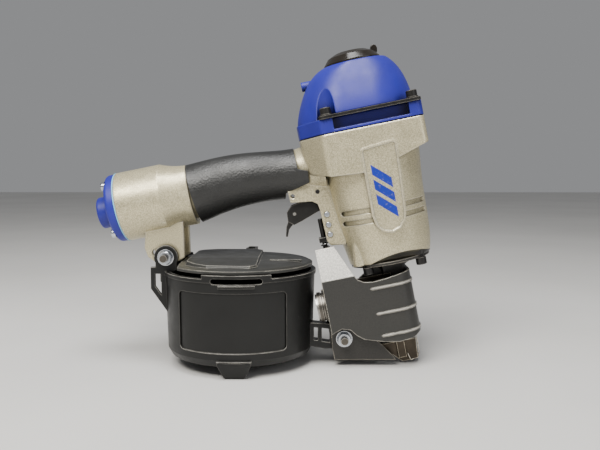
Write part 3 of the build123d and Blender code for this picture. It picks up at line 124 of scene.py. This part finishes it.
def set_or_link(nt, socket, value):
    if isinstance(value, (int, float)):
        socket.default_value = value
    elif isinstance(value, tuple):
        socket.default_value = (*value, 1)
    else:
        nt.links.new(value, socket)


def mix(nt, fac, a, b):
    """Colour a where fac is 0, colour b where it is 1."""
    m = nt.nodes.new("ShaderNodeMix")
    m.data_type = "RGBA"
    for socket, value in ((m.inputs[0], fac), (m.inputs[6], a), (m.inputs[7], b)):
        set_or_link(nt, socket, value)
    return m.outputs[2]


def maths(nt, op, *values, clamp=True):
    m = nt.nodes.new("ShaderNodeMath")
    m.operation = op
    m.use_clamp = clamp
    for socket, value in zip(m.inputs, values):
        set_or_link(nt, socket, value)
    return m.outputs[0]


def bump(nt, bsdf, height, strength, distance, normal=None):
    b = nt.nodes.new("ShaderNodeBump")
    b.inputs["Strength"].default_value = strength
    b.inputs["Distance"].default_value = distance
    nt.links.new(height, b.inputs["Height"])
    if normal is not None:
        nt.links.new(normal, b.inputs["Normal"])
    nt.links.new(b.outputs["Normal"], bsdf.inputs["Normal"])
    return b.outputs["Normal"]


def rounded_normal(nt, radius, samples=8):
    """Normals rounded off over the edges, as on a casting or moulding."""
    bevel = nt.nodes.new("ShaderNodeBevel")
    bevel.samples = samples
    bevel.inputs["Radius"].default_value = radius
    return bevel.outputs["Normal"]


def dot(nt, a, b):
    product = nt.nodes.new("ShaderNodeVectorMath")
    product.operation = "DOT_PRODUCT"
    nt.links.new(a, product.inputs[0])
    if isinstance(b, tuple):
        product.inputs[1].default_value = b
    else:
        nt.links.new(b, product.inputs[1])
    return product.outputs["Value"]


def edges(nt, radius, full, under=None):
    """White on sharp edges, black on flats; edges that face down get only the factor under of it, so painted
    edge highlights stay brighter on edges that face up.
    """
    rounded = rounded_normal(nt, radius, samples=6)
    geometry = nt.nodes.new("ShaderNodeNewGeometry")
    turned = maths(nt, "SUBTRACT", 1.0, dot(nt, rounded, geometry.outputs["Normal"]))
    mask = span(nt, turned, 0.0, 1.0, 0.01, full)
    if under is not None:
        split = nt.nodes.new("ShaderNodeSeparateXYZ")
        nt.links.new(rounded, split.inputs[0])
        mask = maths(nt, "MULTIPLY", mask, span(nt, split.outputs["Z"], under, 1.0, 0.0, 0.4))
    return mask


def patchy(nt, vec, mask, scale, least, detail=4):
    """A mask broken up by noise, down to its least strength."""
    return maths(nt, "MULTIPLY", mask, span(nt, noise(nt, vec, scale, detail), least, 1.0))


def occlusion_shaded(nt, colour, shade_colour, reach):
    """The colour with painted shade: darkened in corners and gaps by ambient occlusion."""
    occlusion = nt.nodes.new("ShaderNodeAmbientOcclusion")
    occlusion.samples = 8
    occlusion.inputs["Distance"].default_value = reach
    return mix(nt, span(nt, occlusion.outputs["AO"], 0.0, 1.0, 0.35, 0.9), shade_colour, colour)


def shade(colour, factor):
    return tuple(min(1, c * factor) for c in colour)


# ------------------------------------------------------------------ painted marks on the tilted head
def drive_height(nt, vec):
    """Height up the drive axis of each point, in metres."""
    return maths(nt, "ADD", dot(nt, vec, UP_DRIVE), DRIVE_X * S / 1000, clamp=False)


def drive_forward(nt, vec):
    """Distance forward of the drive axis of each point, in metres."""
    return maths(nt, "SUBTRACT", dot(nt, vec, ALONG_DRIVE), DRIVE_X * C / 1000, clamp=False)


def band(nt, value, low, high, soft=0.00015):
    """White where the value lies between two limits."""
    up = span(nt, value, 0.0, 1.0, low - soft, low + soft)
    down = span(nt, value, 1.0, 0.0, high - soft, high + soft)
    return maths(nt, "MULTIPLY", up, down)


BAR_COUNT, BAR_FIRST, BAR_PITCH, BAR_HEIGHT = 3, 0.1315, 0.0115, 0.0080     # metres up the drive axis
BAR_REAR, BAR_FRONT, BAR_SLANT = -0.0052, 0.0088, 0.9
PANEL_Y = 0.0395                # the tongue panels lie outside this distance from the middle
BAR_BLUE = (0.020, 0.042, 0.46)


def blue_bars(nt, vec, col):
    """Plain slanted blue bars painted on the tongue panels of the housing."""
    forward = drive_forward(nt, vec)
    lean = maths(nt, "MULTIPLY_ADD", forward, BAR_SLANT, drive_height(nt, vec), clamp=False)
    bars = 0.0
    for i in range(BAR_COUNT):
        low = BAR_FIRST + i * BAR_PITCH
        bars = maths(nt, "ADD", bars, band(nt, lean, low, low + BAR_HEIGHT))
    outside = maths(nt, "ABSOLUTE", dot(nt, vec, ACROSS_TOOL))
    on_panel = span(nt, outside, 0.0, 1.0, PANEL_Y, PANEL_Y + 0.0005)
    mask = maths(nt, "MULTIPLY", bars, band(nt, forward, BAR_REAR, BAR_FRONT))
    mask = maths(nt, "MULTIPLY", mask, on_panel)
    worn = span(nt, noise(nt, vec, 420, 4), 0.72, 1.0, 0.32, 0.42)
    return mix(nt, maths(nt, "MULTIPLY", mask, worn), col, BAR_BLUE)


ARCH_U, ARCH_W, ARCH_R = 0.008, 0.034, 0.06115      # centre and radius of the relief arch under the barrel
ARCH_SOFT = 0.0002
RELIEF_DARK = (0.020, 0.019, 0.018)


def housing_marks(nt, vec, col):
    """Blue bars on the panels, and a dark colour painted inside the arched relief at the bottom of the
    barrel.
    """
    col = blue_bars(nt, vec, col)
    # a dark colour painted inside the arched relief at the bottom of the barrel
    up = maths(nt, "SUBTRACT", drive_height(nt, vec), ARCH_W, clamp=False)
    forward = maths(nt, "SUBTRACT", drive_forward(nt, vec), ARCH_U, clamp=False)
    distance = maths(nt, "ADD", maths(nt, "MULTIPLY", up, up), maths(nt, "MULTIPLY", forward, forward))
    inside = span(nt, distance, 1.0, 0.0, (ARCH_R - ARCH_SOFT) ** 2, (ARCH_R + ARCH_SOFT) ** 2)
    return mix(nt, inside, col, RELIEF_DARK)


FACET_W, FACET_SOFT = 0.0834, 0.0003                # height up the drive axis of the shield's fold
RIBS = ((0.0695, -0.023), (0.0490, -0.022), (0.0308, -0.021))       # lower side and rear end of each rib
RIB_HIGHLIGHT_LOW, RIB_HIGHLIGHT_HIGH = 0.0007, 0.00155           # the painted highlight strip on a rib, above the rib's lower side
RIB_HIGHLIGHT_COLOUR = (0.56, 0.53, 0.47)


def shield_marks(nt, vec, col):
    """Bare speckled silver paint on the shield's folded-in corner, and a painted highlight strip along each
    rib.
    """
    height, forward = drive_height(nt, vec), drive_forward(nt, vec)
    fleck = ramp(nt, noise(nt, vec, 1100, 3, 0.7),
                 [(0.34, (0.34, 0.33, 0.30)), (0.5, (0.52, 0.50, 0.46)), (0.66, (0.72, 0.70, 0.64))])
    col = mix(nt, span(nt, height, 0.0, 1.0, FACET_W - FACET_SOFT, FACET_W + FACET_SOFT), col, fleck)
    # a painted highlight strip along each rib, broken up by noise
    for low, rear in RIBS:
        on_rib = band(nt, height, low + RIB_HIGHLIGHT_LOW, low + RIB_HIGHLIGHT_HIGH, 0.0002)
        past_end = span(nt, forward, 0.0, 1.0, rear - 0.0006, rear + 0.0012)
        rib_highlight = maths(nt, "MULTIPLY", on_rib, past_end)
        broken = maths(nt, "MULTIPLY", rib_highlight, span(nt, noise(nt, vec, 160, 3), 0.45, 1.0, 0.3, 0.5))
        col = mix(nt, broken, col, RIB_HIGHLIGHT_COLOUR)
    return col


# ------------------------------------------------------------------ kinds of material
def paint(name, base, dark, light, metallic, rough, coat, grain, wear, crevice_shade=0.45, marks=None, soft=0.0008):
    """Powder or hammered paint: two grains of speckle, orange peel, slight blotching, worn edges."""
    mat, nt, bsdf, vec = new_mat(name)
    fine = noise(nt, vec, grain, 3, 0.7)
    col = ramp(nt, fine, [(0.34, dark), (0.5, base), (0.66, light)])
    col = mix(nt, span(nt, noise(nt, vec, 28, 4), 0.0, 0.22), col, shade(base, 0.80))
    col = mix(nt, patchy(nt, vec, edges(nt, 0.0012, 0.12), 240, 0.25), col, wear)
    if marks:
        col = marks(nt, vec, col)
    # painted shade: the colour darkened by ambient occlusion in corners and gaps
    nt.links.new(occlusion_shaded(nt, col, shade(base, crevice_shade), 0.004), bsdf.inputs["Base Color"])
    nt.links.new(span(nt, noise(nt, vec, 130, 3), rough - 0.07, rough + 0.08), bsdf.inputs["Roughness"])
    bsdf.inputs["Metallic"].default_value = metallic
    bsdf.inputs["Coat Weight"].default_value = coat
    bsdf.inputs["Coat Roughness"].default_value = 0.28
    normal = bump(nt, bsdf, fine, 0.28, 0.00016, rounded_normal(nt, soft))
    bump(nt, bsdf, noise(nt, vec, grain * 0.28, 2), 0.22, 0.0003, normal)
    return mat


def plastic(name, base, rough, grain, depth, edge_highlight=None, dust=None, spec=0.5, soft=0.0006, crevice_shade=0.4,
            reach=0.003):
    """Moulded plastic: fine texture, slightly uneven sheen, painted highlights on the edges, a little dust.
    """
    mat, nt, bsdf, vec = new_mat(name)
    col = ramp(nt, noise(nt, vec, 22, 5), [(0.3, shade(base, 0.82)), (0.7, shade(base, 1.18))])
    # painted highlight on the edges, broken up by noise and stronger on edges that face up
    if edge_highlight:
        col = mix(nt, patchy(nt, vec, edges(nt, 0.0012, 0.12, under=0.22), 150, 0.3), col, edge_highlight)
    if dust:
        specks = ramp(nt, voronoi(nt, vec, 210), [(0.03, (1, 1, 1)), (0.06, (0, 0, 0))])
        rare = span(nt, noise(nt, vec, 60, 2), 0.0, 1.0, 0.60, 0.68)
        col = mix(nt, maths(nt, "MULTIPLY", specks, rare), col, dust)
    # painted shade: the colour darkened by ambient occlusion in corners and gaps
    nt.links.new(occlusion_shaded(nt, col, shade(base, crevice_shade), reach), bsdf.inputs["Base Color"])
    nt.links.new(span(nt, noise(nt, vec, 70, 5), rough - 0.07, rough + 0.1), bsdf.inputs["Roughness"])
    bsdf.inputs["Specular IOR Level"].default_value = spec
    normal = bump(nt, bsdf, noise(nt, vec, grain, 3, 0.6), 0.35, depth, rounded_normal(nt, soft))
    bump(nt, bsdf, noise(nt, vec, 18, 2), 0.12, 0.0006, normal)
    return mat


EVEN = (1, 1, 1)
DRAWN = (1, 1, 30)              # scratches drawn out along the piece


def metal(name, base, rough, scratch=0.12, stretch=DRAWN, tint=None, edge_highlight=None, scale=120,
          metallic=1.0):
    """Machined or plated metal: directional scratches, smudged roughness, optional heat tint."""
    mat, nt, bsdf, vec = new_mat(name)
    lines = noise(nt, vec, scale, 6, 0.7, stretch)
    col = ramp(nt, lines, [(0.3, shade(base, 0.78)), (0.72, shade(base, 1.15))])
    if tint:
        col = mix(nt, span(nt, noise(nt, vec, 45, 4), 0.0, 0.65), col, tint)
    # painted highlight on the edges, broken up by noise
    if edge_highlight:
        col = mix(nt, patchy(nt, vec, edges(nt, 0.0009, 0.14), 260, 0.4, detail=3), col, edge_highlight)
    # painted shade: the colour darkened by ambient occlusion in corners and gaps
    nt.links.new(occlusion_shaded(nt, col, shade(base, 0.22), 0.0025), bsdf.inputs["Base Color"])
    bsdf.inputs["Metallic"].default_value = metallic
    nt.links.new(span(nt, noise(nt, vec, 90, 5), rough - 0.08, rough + scratch), bsdf.inputs["Roughness"])
    bump(nt, bsdf, lines, 0.18, 0.00008)
    return mat


MATS = {
    "body_paint": paint("body_paint", base=(0.585, 0.52, 0.335), dark=(0.35, 0.31, 0.19),
                        light=(0.82, 0.745, 0.52), metallic=0.55, rough=0.36, coat=0.10, grain=1250,
                        wear=(0.72, 0.68, 0.60), crevice_shade=0.30, marks=housing_marks, soft=0.0021),
    "shield_paint": paint("shield_paint", base=(0.030, 0.029, 0.026), dark=(0.024, 0.023, 0.021),
                          light=(0.038, 0.036, 0.032), metallic=0.25, rough=0.38, coat=0.12, grain=900,
                          wear=(0.62, 0.58, 0.50), marks=shield_marks),
    "nose_black": paint("nose_black", base=(0.030, 0.028, 0.025), dark=(0.022, 0.020, 0.018),
                        light=(0.042, 0.040, 0.036), metallic=0.4, rough=0.40, coat=0.1, grain=900,
                        wear=(0.42, 0.38, 0.31)),
    "blue_cap": plastic("blue_cap", base=(0.015, 0.017, 0.26), rough=0.43, grain=900, depth=0.00016,
                        edge_highlight=(0.05, 0.06, 0.45), spec=0.42, soft=0.0016, crevice_shade=0.15, reach=0.009),
    "blue_gasket": plastic("blue_gasket", base=(0.22, 0.55, 0.78), rough=0.5, grain=700, depth=0.00008),
    "black_gasket": plastic("black_gasket", base=(0.012, 0.012, 0.013), rough=0.6, grain=800, depth=0.0001),
    "black_gloss": plastic("black_gloss", base=(0.012, 0.009, 0.006), rough=0.22, grain=300, depth=0.00004,
                           edge_highlight=(0.05, 0.042, 0.036)),
    "black_plastic": plastic("black_plastic", base=(0.0085, 0.0085, 0.0080), rough=0.38, grain=1100,
                             depth=0.00012, edge_highlight=(0.42, 0.40, 0.36), dust=(0.30, 0.29, 0.27),
                             spec=0.30),
    "lid_plastic": plastic("lid_plastic", base=(0.024, 0.024, 0.022), rough=0.40, grain=1100, depth=0.00012,
                           edge_highlight=(0.40, 0.38, 0.33), dust=(0.32, 0.31, 0.28), spec=0.45),
    "grip_rubber": plastic("grip_rubber", base=(0.012, 0.012, 0.0115), rough=0.40, grain=620, depth=0.0012,
                           edge_highlight=(0.06, 0.058, 0.054), spec=0.6),
    "bumper_rubber": plastic("bumper_rubber", base=(0.12, 0.02, 0.012), rough=0.5, grain=700, depth=0.0001),
    "filter_mesh": plastic("filter_mesh", base=(0.6, 0.58, 0.50), rough=0.7, grain=1600, depth=0.0004),
    "black_steel": metal("black_steel", base=(0.022, 0.021, 0.020), rough=0.36, scratch=0.2, stretch=EVEN,
                         edge_highlight=(0.30, 0.28, 0.25), metallic=0.6),
    "steel": metal("steel", base=(0.46, 0.44, 0.41), rough=0.28, scratch=0.16, stretch=EVEN),
    "dark_steel": metal("dark_steel", base=(0.13, 0.118, 0.102), rough=0.30, scratch=0.2, stretch=EVEN,
                        edge_highlight=(0.60, 0.56, 0.50)),
    "foot_steel": metal("foot_steel", base=(0.075, 0.062, 0.048), rough=0.30, scratch=0.2, stretch=EVEN,
                        tint=(0.035, 0.030, 0.024), edge_highlight=(0.72, 0.64, 0.50)),
    "zinc": metal("zinc", base=(0.60, 0.62, 0.66), rough=0.26, scratch=0.08, stretch=EVEN,
                  tint=(0.52, 0.56, 0.62), edge_highlight=(0.9, 0.9, 0.9), scale=40),
    "spring_steel": metal("spring_steel", base=(0.33, 0.33, 0.34), rough=0.3),
    "wire_steel": metal("wire_steel", base=(0.72, 0.66, 0.55), rough=0.28),
    "aluminium": metal("aluminium", base=(0.62, 0.62, 0.61), rough=0.34),
    "brass": metal("brass", base=(0.62, 0.42, 0.17), rough=0.3),
}
# nodes whose finish differs a little from the rest of their slot
OWN_FINISH = {"feed_cylinder": "dark_steel", "magazine_bolts": "dark_steel", "contact_arm": "foot_steel"}

for node, obj in NODES.items():
    obj.data.materials.clear()
    obj.data.materials.append(MATS[OWN_FINISH.get(node, SLOT_OF[node])])

# ------------------------------------------------------------------ softened edges on the CAD nodes
UNSOFTENED = {"trigger_valve_spring", "contact_spring", "feed_spring", "head_valve_spring", "piston_ring",
              "sleeve_seal", "feed_piston_seal", "head_valve_ring", "cap_gasket", "end_cap_gasket"}
EDGE_WIDTH = {"main_housing": 0.0011, "cylinder_cap": 0.0009, "magazine_can": 0.0006, "magazine_lid": 0.0008,
              "end_cap": 0.0004, "grip_sleeve": 0.0009, "nose_base": 0.0006, "side_shield": 0.0003}
USUAL_EDGE = 0.00025

for node, obj in NODES.items():
    if node in UNSOFTENED:
        continue
    bevel = obj.modifiers.new("soft_edges", "BEVEL")
    bevel.width = EDGE_WIDTH.get(node, USUAL_EDGE)
    bevel.segments = 2
    bevel.limit_method = "ANGLE"
    bevel.angle_limit = radians(38)
    bevel.harden_normals = True
    bevel.use_clamp_overlap = True


# ------------------------------------------------------------------ copies of the springs on the tool body
def closing_spring(node):
    """A copy of a CAD spring, attached to the tool body in place of the hidden original."""
    coil = bpy.data.objects.new(node + "_coil", NODES[node].data.copy())
    bpy.context.scene.collection.objects.link(coil)
    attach(coil, "tool_body")
    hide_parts(node)
    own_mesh(coil)


closing_spring("head_valve_spring")
closing_spring("trigger_valve_spring")
closing_spring("contact_spring")
closing_spring("feed_spring")

# ------------------------------------------------------------------ wire keeper on the contact foot
WIRE_RADIUS = 0.00042
# out of the foot's near side, down its front corner, and up its face, in drive-axis millimetres
WIRE_ROUTE = ((-1.9, -9.2, 9.2), (-2.0, -13.3, 9.2), (-1.9, -13.4, 8.4), (-0.6, -13.4, 3.6),
              (0.2, -13.2, 3.0), (4.6, -11.4, 4.2), (7.6, -8.2, 5.4), (8.5, -5.6, 6.0),
              (8.55, -5.4, 9.0), (8.3, -5.4, 19.0))

wire = bpy.data.curves.new("foot_wire", "CURVE")
wire.dimensions = "3D"
wire.bevel_depth = WIRE_RADIUS
wire.bevel_resolution = 3
spline = wire.splines.new("NURBS")
spline.points.add(len(WIRE_ROUTE) - 1)
for point, (u, y, w) in zip(spline.points, WIRE_ROUTE):
    point.co = (*place(u, y, w), 1)
spline.order_u = 3
spline.use_endpoint_u = True
wire.materials.append(MATS["wire_steel"])
wire_obj = bpy.data.objects.new("foot_wire", wire)
bpy.context.scene.collection.objects.link(wire_obj)
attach(wire_obj, "contact_safety")

# ------------------------------------------------------------------ camera
camera = bpy.data.cameras.new("camera")
camera.lens = 40.8
camera.sensor_width = 36
camera.clip_start = 0.01
camera_obj = bpy.data.objects.new("camera", camera)
camera_obj.location = (0.0539, -0.563, 0.160)
camera_obj.rotation_euler = (radians(90 - 4.77), 0, radians(0.45))      # tipped down and turned slightly left
bpy.context.scene.collection.objects.link(camera_obj)
bpy.context.scene.camera = camera_obj

# ------------------------------------------------------------------ floor
FLOOR_HALF, FLOOR_DROP = 4, 0.0002
floor_mesh = bpy.data.meshes.new("floor")
bm = bmesh.new()
corners = ((-1, -1), (1, -1), (1, 1), (-1, 1))
bm.faces.new([bm.verts.new((x * FLOOR_HALF, y * FLOOR_HALF, -FLOOR_DROP)) for x, y in corners])
bm.to_mesh(floor_mesh)
bm.free()
floor_mat, floor_nt, floor_bsdf, floor_vec = new_mat("floor_paper")
floor_col = ramp(floor_nt, noise(floor_nt, floor_vec, 3, 3),
                 [(0.3, (0.60, 0.59, 0.57)), (0.7, (0.66, 0.65, 0.63))])
floor_nt.links.new(floor_col, floor_bsdf.inputs["Base Color"])
floor_bsdf.inputs["Roughness"].default_value = 0.75
floor_mesh.materials.append(floor_mat)
floor = bpy.data.objects.new("floor", floor_mesh)
bpy.context.scene.collection.objects.link(floor)


# ------------------------------------------------------------------ light
def area_light(name, location, target, size, power, color=(1, 1, 1)):
    data = bpy.data.lights.new(name, "AREA")
    data.shape = "RECTANGLE"
    data.size, data.size_y = size
    data.energy = power
    data.color = color
    obj = bpy.data.objects.new(name, data)
    obj.location = location
    obj.rotation_euler = (Vector(target) - Vector(location)).to_track_quat("-Z", "Y").to_euler()
    bpy.context.scene.collection.objects.link(obj)


area_light("key", (-0.30, -0.80, 1.05), (0.02, 0, 0.12), (0.75, 0.55), 22, (1.0, 0.98, 0.93))
area_light("fill", (1.0, -0.9, 0.45), (0.06, 0, 0.1), (0.9, 0.7), 3, (0.97, 0.98, 1.0))
area_light("top", (0.02, -0.28, 1.15), (0.04, 0, 0.15), (0.55, 0.40), 11)
world = bpy.data.worlds.new("studio")
world.use_nodes = True
sky = world.node_tree.nodes["Background"]
sky.inputs["Color"].default_value = (0.80, 0.81, 0.83, 1)
sky.inputs["Strength"].default_value = 0.34
bpy.context.scene.world = world
